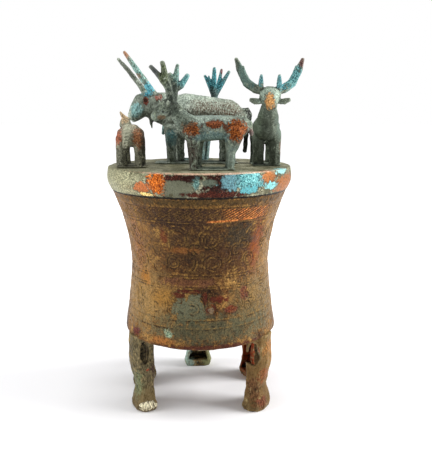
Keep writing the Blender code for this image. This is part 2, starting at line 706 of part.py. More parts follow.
def main():
    """Build the container and its animals."""
    clear_scene()
    axis = empty("vessel_axis", (AXIS_X, 0, 0), 0.0, None)
    make_barrel(axis)
    make_lid(axis)
    colours = {
        "front": bronze("Stag bronze, green with rust", (0.32, 0.36, 0.30), 0.6, 0.45),
        "right": bronze("Stag bronze, dark green", (0.22, 0.27, 0.20), 0.6, 0.45),
        "back": bronze("Stag bronze, turquoise", (0.20, 0.38, 0.36), 0.6, 0.4),
        "ox": bronze("Ox bronze, grey green", (0.30, 0.36, 0.32), 0.65, 0.4),
        "doe": bronze("Doe bronze, brown green", (0.30, 0.29, 0.21), 0.6, 0.45),
    }
    make_front_stag(axis, colours["front"])
    make_right_stag(axis, colours["right"])
    make_back_stag(axis, colours["back"])
    make_ox(axis, colours["ox"])
    make_doe(axis, colours["doe"])


main()
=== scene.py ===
# %% [markdown]
# # A lidded bronze container with five cast animals
# The vessel is an ancient bronze: a waisted barrel on hollow feet, under a cap-like lid that carries an ox,
# three stags and a doe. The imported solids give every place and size. Here each solid gets a finer body with
# its worn, rounded forms and incised lines, and a patina for each part.

import math

import bmesh
import bpy
import numpy as np
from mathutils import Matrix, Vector


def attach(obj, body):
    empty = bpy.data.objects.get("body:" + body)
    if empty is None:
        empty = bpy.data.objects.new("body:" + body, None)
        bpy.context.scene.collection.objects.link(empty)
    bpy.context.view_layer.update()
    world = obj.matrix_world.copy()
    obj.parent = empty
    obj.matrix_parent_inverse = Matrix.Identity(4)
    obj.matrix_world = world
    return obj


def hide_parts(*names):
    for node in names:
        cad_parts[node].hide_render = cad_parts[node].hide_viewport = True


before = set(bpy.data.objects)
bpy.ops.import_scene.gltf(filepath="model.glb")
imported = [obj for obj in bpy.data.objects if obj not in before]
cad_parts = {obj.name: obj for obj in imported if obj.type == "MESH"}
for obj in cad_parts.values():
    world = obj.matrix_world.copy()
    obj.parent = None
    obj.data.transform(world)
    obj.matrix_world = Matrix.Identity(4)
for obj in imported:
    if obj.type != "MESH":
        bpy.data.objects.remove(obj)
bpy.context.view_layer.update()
MM = 0.001
AXIS_X = -3.1
print("solids:", sorted(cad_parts))

# %% [markdown]
# ## Hands for the bench
# Operators act on whatever is selected, so each step starts by selecting one object and nothing else.
# Modifiers are applied as they are added, so that a later step can select faces by their place.


# %% Selecting and applying
def only(item):
    """Select one object and make it active."""
    for other in bpy.context.selected_objects:
        other.select_set(False)
    item.select_set(True)
    bpy.context.view_layer.objects.active = item
    return item


def apply_modifier(item, kind, **settings):
    """Add one modifier with its settings, and apply it."""
    only(item)
    modifier = item.modifiers.new(kind.title(), kind)
    for key, value in settings.items():
        setattr(modifier, key, value)
    bpy.ops.object.modifier_apply(modifier=modifier.name)


# %% [markdown]
# Fine surface work moves vertices in code: it is the same as a light touch with a sculpting brush, but it can
# be repeated exactly. These functions read and write the vertices in millimetres.


# %% Vertices as arrays
def points_of(item):
    """The piece's vertices in millimetres, as an array."""
    found = np.empty(len(item.data.vertices) * 3)
    item.data.vertices.foreach_get("co", found)
    return found.reshape(-1, 3) / MM


def normals_of(item):
    """The piece's vertex normals."""
    found = np.empty(len(item.data.vertices) * 3)
    item.data.vertex_normals.foreach_get("vector", found)
    return found.reshape(-1, 3)


def move_points(item, points):
    """Write vertices back, from millimetres."""
    item.data.vertices.foreach_set("co", (points * MM).ravel())
    item.data.update()


def store(item, name, values):
    """Keep one number for each vertex, which a material can read by its name."""
    layer = item.data.attributes.new(name, "FLOAT", "POINT")
    layer.data.foreach_set("value", values.astype(np.float32))


def press(item, centre, reach, amount):
    """Push the surface in round a point, or out with a negative amount. All in millimetres."""
    points = points_of(item)
    away = np.linalg.norm((points - np.array(centre)) / np.array(reach), axis=1)
    fall = np.clip(1 - away**2, 0, 1) ** 1.5
    move_points(item, points - normals_of(item) * (amount * fall)[:, None])


def roughen(item, size, amount, seed):
    """Make a cast surface uneven: sum waves of one size in random directions, and move along the normals."""
    chance = np.random.default_rng(seed)
    points = points_of(item)
    waves = np.zeros(len(points))
    for _ in range(9):
        direction = chance.normal(size=3)
        direction *= 2 * math.pi / (size * chance.uniform(0.7, 1.6) * np.linalg.norm(direction))
        waves += np.sin(points @ direction + chance.uniform(0, 2 * math.pi))
    move_points(item, points + normals_of(item) * (amount * waves / 3)[:, None])


def find_hollows(item, rounds):
    """Store how deep each vertex lies below its smoothed surroundings, in millimetres."""
    pairs = np.empty(len(item.data.edges) * 2, dtype=np.int32)
    item.data.edges.foreach_get("vertices", pairs)
    first, second = pairs.reshape(-1, 2).T
    points = points_of(item)
    total = len(points)
    links = np.bincount(first, minlength=total) + np.bincount(second, minlength=total)
    links = np.maximum(links, 1)
    smooth = points.copy()
    for _ in range(rounds):
        for axis in range(3):
            values = smooth[:, axis]
            sums = np.bincount(first, values[second], total) + np.bincount(second, values[first], total)
            smooth[:, axis] = sums / links
    store(item, "hollow", ((smooth - points) * normals_of(item)).sum(axis=1))


# %% [markdown]
# ## Turning profiles
# The barrel and the lid were cast round. Each is a profile, half of the section, that the Spin operator turns
# about the axis. The profile starts from a plane merged to one vertex, and is extruded point by point.


# %% Spin a profile
def turned(name, profile, steps):
    """Spin a profile of (radius, height) in millimetres about the vessel's axis."""
    bpy.ops.mesh.primitive_plane_add(size=MM, location=(0, 0, 0))
    item = bpy.context.object
    item.name = name
    bpy.ops.object.mode_set(mode="EDIT")
    bpy.ops.mesh.select_all(action="SELECT")
    bpy.ops.mesh.merge(type="CENTER")
    place = (0.0, 0.0)
    for index, (radius, height) in enumerate(profile):
        step = ((radius - place[0]) * MM, 0, (height - place[1]) * MM)
        if index == 0:
            bpy.ops.transform.translate(value=step)
        else:
            bpy.ops.mesh.extrude_vertices_move(TRANSFORM_OT_translate={"value": step})
        place = (radius, height)
    bpy.ops.mesh.select_all(action="SELECT")
    bpy.ops.mesh.spin(steps=steps, angle=2 * math.pi, center=(0, 0, 0), axis=(0, 0, 1), use_auto_merge=True)
    bpy.ops.mesh.select_all(action="SELECT")
    bpy.ops.mesh.remove_doubles(threshold=0.01 * MM)
    bpy.ops.mesh.normals_make_consistent(inside=False)
    bpy.ops.object.mode_set(mode="OBJECT")
    only(item)
    bpy.ops.object.shade_smooth_by_angle(angle=math.radians(38))
    points = points_of(item)
    points[:, 0] += AXIS_X
    move_points(item, points)
    print(name, len(item.data.polygons), "faces")
    return item


# %% [markdown]
# ## The studio
# The photograph was taken against white, with soft light from both sides. The stronger light stands high on
# the right, so a soft shadow falls to the left. The camera stands 57 cm away and looks down by 12 degrees.

# %% Camera
PICTURE_HEIGHT = 474
FOCAL_PIXELS = 563.6
SENSOR = 36.0
camera_data = bpy.data.cameras.new("camera")
camera = bpy.data.objects.new("camera", camera_data)
bpy.context.scene.collection.objects.link(camera)
bpy.context.scene.camera = camera
camera_data.sensor_fit = "AUTO"
camera_data.sensor_width = SENSOR
camera_data.lens = FOCAL_PIXELS * SENSOR / PICTURE_HEIGHT
camera.location = (AXIS_X * MM, -0.5667, 0.2933)
camera.rotation_euler = (math.pi / 2 - 0.214, 0, -0.029)
camera_data.clip_start = 0.02
camera_data.clip_end = 20
print("lens", round(camera_data.lens, 2), "mm")


# %% [markdown]
# Two small functions serve all materials. One turns a hex colour into Blender's linear light. The other adds
# a node, gives its inputs their values in order, and hands back its output for the next node.


# %% Colours and nodes
def srgb(code):
    """An sRGB hex value as linear red, green, blue and full alpha."""
    parts = [int(code[i : i + 2], 16) / 255 for i in (1, 3, 5)]
    return (*[c / 12.92 if c <= 0.04045 else ((c + 0.055) / 1.055) ** 2.4 for c in parts], 1.0)


def add(tree, kind, *inputs, out=0, **settings):
    """Add one node. Inputs are values, or outputs of other nodes, in the order of the active sockets."""
    node = tree.nodes.new("ShaderNode" + kind)
    for key, value in settings.items():
        setattr(node, key, value)
    for socket, value in zip([s for s in node.inputs if s.enabled], inputs):
        if isinstance(value, bpy.types.NodeSocket):
            tree.links.new(value, socket)
        else:
            socket.default_value = value
    return [s for s in node.outputs if s.enabled][out]


# %% [markdown]
# The floor is one wide sheet of matt white paper. It glows a little far from the vessel, so that its far edge
# melts into the white tent. The camera sees the tent as pure white, while the bronze is lit by a dimmer one:
# the Light Path node tells the two apart.


# %% Light and floor
def softbox(name, place, target, size, power):
    """A square light that faces a target. Places are in metres."""
    data = bpy.data.lights.new(name, "AREA")
    data.size = size
    data.energy = power
    item = bpy.data.objects.new(name, data)
    bpy.context.scene.collection.objects.link(item)
    item.location = place
    item.rotation_euler = (Vector(target) - Vector(place)).to_track_quat("-Z", "Y").to_euler()


bpy.context.scene.view_settings.view_transform = "Standard"
world = bpy.data.worlds.new("tent")
bpy.context.scene.world = world
world.use_nodes = True
background = world.node_tree.nodes["Background"]
background.inputs["Color"].default_value = srgb("#ffffff")
seen = add(world.node_tree, "LightPath")
level = add(world.node_tree, "MapRange", seen, 0.0, 1.0, 0.36, 1.0)
world.node_tree.links.new(level, background.inputs["Strength"])
softbox("key_light", (1.2, -0.1, 0.8), (0, 0, 0.12), 0.7, 23)
softbox("left_light", (-1.2, -0.25, 0.55), (0, 0, 0.2), 0.7, 9)
softbox("top_light", (-0.1, 0.0, 1.3), (0, 0, 0.2), 0.6, 8)

bpy.ops.mesh.primitive_plane_add(size=30, location=(0, 0, 0))
floor = bpy.context.object
floor.name = "studio_floor"

# Matt coated paper: it gives the eye an even white with a soft shadow and no reflection
paper = bpy.data.materials.new("White studio paper")
paper.use_nodes = True
sheet = paper.node_tree.nodes["Principled BSDF"].inputs
sheet["Base Color"].default_value = srgb("#f9f9fb")
sheet["Roughness"].default_value = 0.9
far = add(paper.node_tree, "VectorMath", add(paper.node_tree, "TexCoord", out=3), operation="LENGTH")
haze = add(paper.node_tree, "MapRange", far, 0.26, 0.58, 0.0, 0.75, interpolation_type="SMOOTHSTEP")
paper.node_tree.links.new(haze, sheet["Emission Strength"])
sheet["Emission Color"].default_value = srgb("#ffffff")
floor.data.materials.append(paper)

# %% [markdown]
# ## Patina
# Buried bronze loses its metal colour. It turns to brown and olive oxides, green and turquoise carbonates and
# rust red cuprite, in mottles of a few millimetres with a finer grain on them. Each material here is a base
# of mottled colours, then named patches with ragged edges, then a grain of light and dark, then dirt and
# painted shade in the creases and a painted highlight on the ridges. Some patches are painted light as well:
# highlights and shade laid into the colour. All patterns read Object coordinates in millimetres, so they stay
# in place from any side. The real grain is a tenth of a millimetre; it is drawn about a millimetre wide, so
# that it shows in the picture.


# %% Steps of a patina
STROKE_SPACING = 4.2
STROKE_SLOPE = 1.66
BORDER = "#1c1712"
# Painted highlight colour, for the lit edge of each groove and of each thread of the tracery
GLINT_COLOUR = "#a07a3c"
COPPER = ("#b9602a", "#d98a48")

# Worn tracery: one noise wave is about 9 mm, and a line is drawn at each step of its height
THREAD_SCALE = 0.11
THREAD_STEP = 0.07
BUMP_MM = 0.8


def unrolled(tree, place, radius):
    """Places on a round body as (distance round it from the front, radius, height)."""
    centred = add(tree, "VectorMath", place, (-AXIS_X, 0, 0), operation="ADD")
    split = add(tree, "SeparateXYZ", centred).node
    back = add(tree, "Math", split.outputs[1], -1.0, operation="MULTIPLY")
    turn = add(tree, "Math", split.outputs[0], back, operation="ARCTAN2")
    flat = add(tree, "VectorMath", centred, (1, 1, 0), operation="MULTIPLY")
    reach = add(tree, "VectorMath", flat, operation="LENGTH")
    around = add(tree, "Math", turn, radius, operation="MULTIPLY")
    return add(tree, "CombineXYZ", around, reach, split.outputs[2])


def lay_patch(tree, colour, where, ragged, dapple, patch):
    """Lay one ragged patch with a darker border over a colour.

    A patch is (two tints, centre, radii, softness of its edge, strength). Within the radii it covers fully.
    """
    tints, centre, radii, soft, strength = patch
    offset = add(tree, "VectorMath", where, centre, operation="SUBTRACT")
    scaled = add(tree, "VectorMath", offset, radii, operation="DIVIDE")
    reach = add(tree, "VectorMath", scaled, operation="LENGTH")
    reach = add(tree, "Math", reach, ragged, operation="ADD")
    own = add(tree, "Mix", dapple, srgb(tints[0]), srgb(tints[1]), data_type="RGBA")
    if soft < 0.25:
        border = add(tree, "MapRange", reach, 1 + soft, 1 + 3 * soft, 0.5 * strength, 0.0)
        colour = add(tree, "Mix", border, colour, srgb(BORDER), data_type="RGBA")
    cover = add(tree, "MapRange", reach, 1 - soft, 1 + soft, strength, 0.0, interpolation_type="SMOOTHSTEP")
    return add(tree, "Mix", cover, colour, own, data_type="RGBA")


def patina(name, mottle, patches, light, dark, blotch=9.0, grain=1.3, stretch=(1, 1, 1), relief=0.5,
           round_body=None, strokes=False, painted_light_patches=(), contrast=1.0, seed=0.0):
    """A weathered bronze from mottle stops, patches, light and dark grain, painted shade in the hollows,
    painted highlight on the ridges, and relief.
    """
    material = bpy.data.materials.new(name)
    material.use_nodes = True
    tree = material.node_tree
    shader = tree.nodes["Principled BSDF"]
    place = add(tree, "TexCoord", out=3)
    place = add(tree, "VectorMath", place, (1 / MM, 1 / MM, 1 / MM), operation="MULTIPLY")
    shifted = add(tree, "VectorMath", place, (seed, seed, seed), operation="ADD")
    streaked = add(tree, "VectorMath", shifted, stretch, operation="MULTIPLY")
    wide = add(tree, "TexNoise", shifted, 1 / blotch, 4.0, 0.6)
    middle = add(tree, "TexNoise", shifted, 3 / blotch, 3.0, 0.6)
    fine = add(tree, "TexNoise", streaked, 1 / grain, 2.0, 0.6)
    pitted = add(tree, "TexNoise", shifted, 0.48 / grain, 2.0, 0.5)

    # Mottle: blotches of two sizes, coloured by a ramp
    broad = add(tree, "Math", wide, 0.62, operation="MULTIPLY")
    tone = add(tree, "Math", middle, 0.38, broad, operation="MULTIPLY_ADD")
    colour = add(tree, "ValToRGB", tone)
    band = colour.node.color_ramp.elements
    while len(band) < len(mottle):
        band.new(0.5)
    for element, (stop, code) in zip(band, mottle):
        element.position = stop
        element.color = srgb(code)

    # Patches, the dark of the incised lines, and painted highlight and seam shade patches over both
    centred = add(tree, "Math", middle, 0.5, operation="SUBTRACT")
    ragged = add(tree, "Math", centred, 2.4, operation="MULTIPLY")
    dapple = add(tree, "MapRange", fine, 0.4, 0.62, 0.0, 1.0)
    where = unrolled(tree, place, round_body) if round_body else place
    for patch in patches:
        colour = lay_patch(tree, colour, where, ragged, dapple, patch)
    groove = add(tree, "Attribute", attribute_name="incised", out=2)
    worn = add(tree, "MapRange", middle, 0.42, 0.58, 0.12, 0.95)
    filled = add(tree, "Math", groove, worn, operation="MULTIPLY")
    colour = add(tree, "Mix", filled, colour, srgb(dark), data_type="RGBA")
    for patch in painted_light_patches:
        colour = lay_patch(tree, colour, where, ragged, dapple, patch)
    if strokes:
        # Painted highlight along the edge of each groove, worn tracery between them with a painted highlight
        # beside each thread, and bare copper in the rubbed strokes
        edge = add(tree, "Attribute", attribute_name="groove_glint", out=2)
        edge = add(tree, "Math", edge, worn, operation="MULTIPLY")
        edge = add(tree, "Math", edge, 0.45, operation="MULTIPLY")
        colour = add(tree, "Mix", edge, colour, srgb(GLINT_COLOUR), data_type="RGBA")
        winding = add(tree, "TexNoise", shifted, THREAD_SCALE, 3.0, 0.5)
        winding = add(tree, "Math", winding, THREAD_STEP, operation="PINGPONG")
        thread = add(tree, "MapRange", winding, 0.0, 0.018, 0.62, 0.0)
        colour = add(tree, "Mix", thread, colour, srgb(dark), data_type="RGBA")
        # Painted highlight beside each dark thread
        thread = add(tree, "MapRange", winding, 0.052, THREAD_STEP, 0.0, 0.16)
        colour = add(tree, "Mix", thread, colour, srgb(GLINT_COLOUR), data_type="RGBA")
        split = add(tree, "SeparateXYZ", where).node
        slope = add(tree, "Math", split.outputs[2], -STROKE_SLOPE, split.outputs[0], operation="MULTIPLY_ADD")
        wave = add(tree, "Math", slope, STROKE_SPACING / 2, operation="PINGPONG")
        thin = add(tree, "MapRange", wave, 0.5, 0.9, 1.0, 0.0)
        rubbed = add(tree, "Attribute", attribute_name="rubbed", out=2)
        line_only = add(tree, "Attribute", attribute_name="bright_line", out=2)
        rubbed = add(tree, "Math", rubbed, thin, operation="MULTIPLY")
        rubbed = add(tree, "Math", rubbed, line_only, operation="MAXIMUM")
        patchy = add(tree, "MapRange", middle, 0.38, 0.52, 0.25, 1.0)
        rubbed = add(tree, "Math", rubbed, patchy, operation="MULTIPLY")
        copper = add(tree, "Mix", dapple, srgb(COPPER[0]), srgb(COPPER[1]), data_type="RGBA")
        colour = add(tree, "Mix", rubbed, colour, copper, data_type="RGBA")

    # Grain, pits, dirt and painted shade in the hollows, and wear and a painted highlight on the ridges
    swing = add(tree, "MapRange", fine, 0.32, 0.68, 1 - 0.62 * contrast, 1 + 0.55 * contrast)
    colour = add(tree, "Mix", 1.0, colour, swing, data_type="RGBA", blend_type="MULTIPLY")
    flecks = add(tree, "MapRange", fine, 0.64, 0.78, 0.0, 0.3 * contrast)
    colour = add(tree, "Mix", flecks, colour, srgb(light), data_type="RGBA")
    pits = add(tree, "MapRange", pitted, 0.62, 0.74, 0.0, 0.6 * contrast)
    colour = add(tree, "Mix", pits, colour, srgb(dark), data_type="RGBA")
    hollow = add(tree, "Attribute", attribute_name="hollow", out=2)
    dirt_and_shade = add(tree, "MapRange", hollow, 0.04, 0.5, 0.0, 0.9)
    colour = add(tree, "Mix", dirt_and_shade, colour, srgb(dark), data_type="RGBA")
    ridge = add(tree, "MapRange", hollow, -0.3, -1.0, 0.0, 0.35)
    colour = add(tree, "Mix", ridge, colour, srgb(light), data_type="RGBA")
    tree.links.new(colour, shader.inputs["Base Color"])

    gloss = add(tree, "MapRange", middle, 0.35, 0.65, 0.42, 0.7)
    tree.links.new(gloss, shader.inputs["Roughness"])
    height = add(tree, "Math", fine, middle, operation="ADD")
    height = add(tree, "Math", pitted, -0.8, height, operation="MULTIPLY_ADD")
    bump = add(tree, "Bump", relief, BUMP_MM * MM).node
    tree.links.new(height, bump.inputs["Height"])
    tree.links.new(bump.outputs["Normal"], shader.inputs["Normal"])

    # Oxides and carbonates cover most of the metal: part metallic, matt, and with little gloss of their own
    shader.inputs["Metallic"].default_value = 0.4
    shader.inputs["Specular IOR Level"].default_value = 0.15
    return material


# %% [markdown]
# ## The lid
# The lid is a shallow cap, cast round. Its rim is a deep band that curves in towards the seam, and a flange
# inside drops into the mouth. Spin makes it from a profile with rounded edges.

# %% Lid shape
BARREL_TOP = 222.0
LID_TOP = 244.5
LID_RADIUS = 90.4
LID_BULGE = 0.8
LID_EDGE = 2.2
LID_FOOT_RADIUS = 87.2
LID_FOOT = 222.3
LID_UNDERSIDE = 241.5
FLANGE_FOOT = 214.0
FLANGE_OUTSIDE = [(82.7, LID_FOOT), (81.6, FLANGE_FOOT + 0.4), (81.0, FLANGE_FOOT)]
FLANGE_INSIDE = [(79.8, FLANGE_FOOT), (79.2, FLANGE_FOOT + 0.4), (80.3, 224.5)]
LID_INSIDE = [(87.0, 231.2), (87.2, 239.0)]
LID_STEPS = 300


def lid_profile():
    """Outside from the middle of the top to the seam, then the flange and the hollow underside."""
    points = [(0.0, LID_TOP), (30.0, LID_TOP), (60.0, LID_TOP), (80.0, LID_TOP)]
    for step in range(9):
        turn = math.radians(90 * step / 8)
        radius = LID_RADIUS - LID_EDGE * (1 - math.sin(turn))
        points.append((radius, LID_TOP - LID_EDGE * (1 - math.cos(turn))))
    rows = 17
    for step in range(1, rows):
        share = step / rows
        height = LID_TOP - LID_EDGE - share * (LID_TOP - LID_EDGE - LID_FOOT)
        bulge = LID_BULGE * math.sin(math.pi * min(share / 0.85, 1.0))
        inward = (LID_RADIUS - LID_FOOT_RADIUS) * max(0.0, (share - 0.45) / 0.55) ** 1.8
        points.append((LID_RADIUS + bulge - inward, height))
    points += [(LID_FOOT_RADIUS - 0.3, LID_FOOT), *FLANGE_OUTSIDE, *FLANGE_INSIDE, *LID_INSIDE]
    points += [(85.0, LID_UNDERSIDE - 0.1), (40.0, LID_UNDERSIDE), (0.0, LID_UNDERSIDE)]
    return points


lid = turned("lid_casting", lid_profile(), LID_STEPS)
roughen(lid, 16.0, 0.12, seed=4)
print("lid top", LID_TOP, "mm")

# %% [markdown]
# The lid's patina has the boldest patches. Their places are given as the distance round the rim from the
# front, the radius and the height.

# %% Lid patina
RIM = 90
LID_PATCHES = [
    (("#7d6a4c", "#927c58"), (-72, RIM, 229), (14, 8, 6), 0.5, 0.7),
    (("#8f7a58", "#6f5f44"), (-88, RIM, 238), (10, 8, 4), 0.4, 0.5),
    (("#8a8a6c", "#9c9a7a"), (-95, RIM, 233), (40, 14, 16), 0.4, 0.8),
    (("#a8480f", "#cf7422"), (-37, RIM, 235.5), (9, 6, 9.5), 0.12, 0.96),
    (("#c07040", "#a85c2c"), (-53, RIM, 231), (8.5, 6, 4.6), 0.15, 0.9),
    (("#f0c060", "#ffe6a0"), (-50, RIM, 225.2), (6.5, 6, 1.7), 0.2, 0.9),
    (("#85876f", "#4a4c40"), (-18, RIM, 232), (13, 6, 9.5), 0.15, 0.9),
    (("#2a0f0a", "#451c12"), (-20, RIM, 241), (10, 6, 2.6), 0.14, 0.95),
    (("#38160f", "#220e0a"), (-6, RIM, 240.5), (7, 6, 3.2), 0.14, 0.95),
    (("#1c0905", "#3a150c"), (15, RIM, 234.5), (13.5, 6, 10.5), 0.12, 0.98),
    (("#33130b", "#4f2013"), (16, RIM, 226), (29, 6, 3.4), 0.14, 0.96),
    (("#7d8a78", "#4c5548"), (7, RIM, 236.5), (6.5, 6, 3.0), 0.3, 0.85),
    (("#4f7f7c", "#7aa29a"), (-3, RIM, 236), (3.2, 6, 4.5), 0.4, 0.75),
    (("#4b8f95", "#7db8b6"), (43, RIM, 237), (20, 6, 8.0), 0.1, 0.98),
    (("#6f9aa2", "#5c868e"), (26, RIM, 237), (7, 6, 7.0), 0.2, 0.85),
    (("#6cb0b4", "#4f9aa2"), (46, RIM, 229.5), (9, 6, 3.4), 0.15, 0.95),
    (("#b5743c", "#94562a"), (68, RIM, 238.5), (9, 6, 6.5), 0.15, 0.92),
    (("#a86a38", "#85502a"), (98, RIM, 231), (24, 8, 8.5), 0.2, 0.9),
    (("#8cc9c6", "#74b3b4"), (71, RIM, 231), (9, 6, 3.2), 0.15, 0.95),
    (("#a2d2cd", "#84bcba"), (89, RIM, 243.5), (10, 6, 4.0), 0.15, 0.95),
]
LID_HIGHLIGHT_AND_SEAM_SHADE = [
    # Painted highlight along the front of the lid's top edge
    (("#cfae96", "#b8977c"), (14, RIM - 1, 244.0), (68, 3, 0.9), 0.3, 0.75),
    # Painted shade in the seam: a near-black line round the foot of the lid
    (("#15110d", "#0f0c0a"), (0, RIM, 222.3), (400, 40, 1.1), 0.3, 0.97),
]
# Grey green carbonate, granular as fine sandstone: bold patches with dark, ragged borders
lid_patina = patina(
    "Cast bronze, grey green carbonate patina of the lid",
    [(0.38, "#4f4d38"), (0.47, "#757359"), (0.54, "#8d8b72"), (0.62, "#a3a188")],
    LID_PATCHES,
    light="#c9c8b2",
    dark="#1f1d17",
    blotch=12,
    grain=1.2,
    round_body=RIM,
    painted_light_patches=LID_HIGHLIGHT_AND_SEAM_SHADE,
    contrast=1.05,
)
lid.data.materials.clear()
lid.data.materials.append(lid_patina)
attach(lid, "root")
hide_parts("lid")

# %% [markdown]
# ## The barrel
# The barrel has a narrow waist. Its bands were incised: straight lines, oblique strokes under the mouth,
# large scrolls and rings on the waist, and small scrolls and arcs below. The lines are cut here as real
# grooves, a third of a millimetre deep, by moving vertices inwards, and the same numbers are stored on the
# vertices so that the patina can gather in them.

# %% Barrel shape
WAIST_RADIUS = 70.0
MOUTH_RADIUS = 86.5
HEEL_RADIUS = 78.2
HEEL_ROUNDING = 2.6
WAIST_HEIGHT = 150.0
UNDERSIDE = 78.5
WALL = 3.0
FLOOR = 3.5
PATTERN_FROM, PATTERN_TO = 94, 214
FINE_ROW, COARSE_ROW = 0.85, 1.6
BARREL_STEPS = 520


def barrel_radius(height):
    """Outer radius at a height, in millimetres."""
    if height >= WAIST_HEIGHT:
        rise = (height - WAIST_HEIGHT) / (BARREL_TOP - WAIST_HEIGHT)
        return WAIST_RADIUS + (MOUTH_RADIUS - WAIST_RADIUS) * rise**1.75
    fall = (WAIST_HEIGHT - height) / (WAIST_HEIGHT - UNDERSIDE)
    return WAIST_RADIUS + (HEEL_RADIUS - WAIST_RADIUS) * fall**1.5


def barrel_profile():
    """Underside, heel, the outer wall in fine rows, the mouth, and the inner wall in coarse rows."""
    points = [(0.0, UNDERSIDE), (40.0, UNDERSIDE), (70.0, UNDERSIDE)]
    heel = barrel_radius(UNDERSIDE + HEEL_ROUNDING) - HEEL_ROUNDING
    for step in range(7):
        turn = math.radians(90 * step / 6)
        radius = heel + HEEL_ROUNDING * math.sin(turn)
        points.append((radius, UNDERSIDE + HEEL_ROUNDING * (1 - math.cos(turn))))
    height = UNDERSIDE + HEEL_ROUNDING + 1
    while height < BARREL_TOP - 0.6:
        points.append((barrel_radius(height), height))
        height += FINE_ROW if PATTERN_FROM < height < PATTERN_TO else COARSE_ROW
    points += [(MOUTH_RADIUS, BARREL_TOP), (MOUTH_RADIUS - WALL, BARREL_TOP)]
    for share in (0.12, 0.28, 0.45, 0.65, 0.82, 0.96):
        height = BARREL_TOP - share * (BARREL_TOP - UNDERSIDE - FLOOR)
        points.append((barrel_radius(height) - WALL, height))
    points += [(72.0, UNDERSIDE + FLOOR), (0.0, UNDERSIDE + FLOOR)]
    return points


barrel = turned("barrel_casting", barrel_profile(), BARREL_STEPS)

# %% [markdown]
# The incised pattern is worked out from the distance round the barrel and the height. One group of rings,
# arcs and scrolls is drawn once and repeated six times round the waist. The lines fade where the surface is
# worn. Above each groove runs a narrow painted highlight, where the metal caught the light.


# %% Incised lines
def line(distance, half_width=1.0):
    """A rounded groove: 1 on its line, fading to 0."""
    return np.clip(1 - (distance / half_width) ** 2, 0, 1)


def repeated(position, length):
    """Position along a repeat, centred on 0."""
    return (position + length / 2) % length - length / 2


def arcs(x, z, centre, radii, start, end):
    """Concentric arcs between two angles in degrees, counted from the right and upwards."""
    reach = np.hypot(x - centre[0], z - centre[1])
    angle = np.degrees(np.arctan2(z - centre[1], x - centre[0]))
    inside = ((angle - start) % 360) <= (end - start)
    found = np.zeros(len(x))
    for radius in radii:
        found = np.maximum(found, line(reach - radius))
    return found * inside


def scroll(x, z, centre, turns, pitch, start):
    """A spiral line of some turns whose coils are a pitch apart."""
    reach = np.hypot(x - centre[0], z - centre[1])
    angle = (np.arctan2(z - centre[1], x - centre[0]) - math.radians(start)) % (2 * math.pi)
    wound = (reach - pitch * angle / (2 * math.pi)) % pitch
    return line(np.minimum(wound, pitch - wound)) * (reach < turns * pitch)


skin = points_of(barrel)
turn_at = np.arctan2(skin[:, 0] - AXIS_X, -skin[:, 1])
radius_at = np.hypot(skin[:, 0] - AXIS_X, skin[:, 1])
outer = radius_at > np.array([barrel_radius(z) for z in skin[:, 2]]) - 1.0
MEAN_RADIUS = 72.0
along = turn_at * MEAN_RADIUS
high = skin[:, 2]
GROUP = 2 * math.pi * MEAN_RADIUS / 6
STROKE_BAND = (201.2, 212.0)
WAIST_BAND = (150.5, 195.5)
LOWER_BAND = (108, 133)
RING_LINES = (213.0, 200.6, 198.0, 148.2, 145.8, 137.5, 135.2, 106.0, 97.8)


def pattern(along, high):
    """How deep the incised lines are at places on the unrolled barrel, from 0 to 1."""
    depth = np.zeros(len(high))
    for height in RING_LINES:
        depth = np.maximum(depth, line(high - height, 0.9))

    # Oblique strokes under the mouth
    lean = repeated(along - STROKE_SLOPE * high + STROKE_SPACING / 2, STROKE_SPACING)
    in_band = (high > STROKE_BAND[0]) & (high < STROKE_BAND[1])
    depth = np.maximum(depth, 0.8 * line(lean / 2, 0.8) * in_band)

    # Rings, arcs and scrolls, six groups round the waist
    x = repeated(along, GROUP)
    groups = [
        arcs(x, high, (-25.6, 161), (3.6, 6.4), 0, 360),
        arcs(x, high, (-17, 162), (12.5, 15.5), -80, 75),
        arcs(x, high, (-20, 184), (8, 11), -60, 170),
        arcs(x, high, (34.5, 172), (2.4, 5.0), 0, 360),
        arcs(x, high, (33, 156), (2.4, 5.2), 0, 360),
        arcs(x, high, (-4, 172), (4, 7), 60, 260),
        scroll(x, high, (8, 184), 3, 3.6, 20),
        scroll(x, high, (12, 159), 3, 3.4, 200),
        scroll(x, high, (-33, 177), 2, 3.4, 90),
        arcs(x, high, (22, 185), (14, 17), 100, 250),
        arcs(x, high, (22, 168), (5, 8), -90, 80),
    ]
    for part in groups:
        depth = np.maximum(depth, part * ((high > WAIST_BAND[0]) & (high < WAIST_BAND[1])))

    # Small scrolls and rings on the lower band, twelve groups
    x = repeated(along - 10, GROUP / 2)
    lower = arcs(x, high, (0, 116), (1.6, 4.2), 0, 360)
    lower = np.maximum(lower, arcs(x, high, (-17, 119), (11, 13.6), -10, 190))
    lower = np.maximum(lower, scroll(x, high, (-17, 117), 2, 3.4, 60))
    lower = np.maximum(lower, arcs(x, high, (4, 128), (3, 5.6), 150, 300))
    return np.maximum(depth, lower * ((high > LOWER_BAND[0]) & (high < LOWER_BAND[1])))


depth = pattern(along, high)
# A painted highlight just above each groove, where the metal caught the light
groove_glint = np.clip(pattern(along + 0.8, high - 1.2) - depth, 0, 1)
in_band = (high > STROKE_BAND[0]) & (high < STROKE_BAND[1])
rubbed = in_band * np.clip((along - 16) / 10, 0, 1) * np.clip((66 - along) / 8, 0, 1)
bright_line = line(high - 200.4 - 0.02 * along, 0.9)
bright_line = bright_line * np.clip((along - 4) / 5, 0, 1) * np.clip((56 - along) / 12, 0, 1)

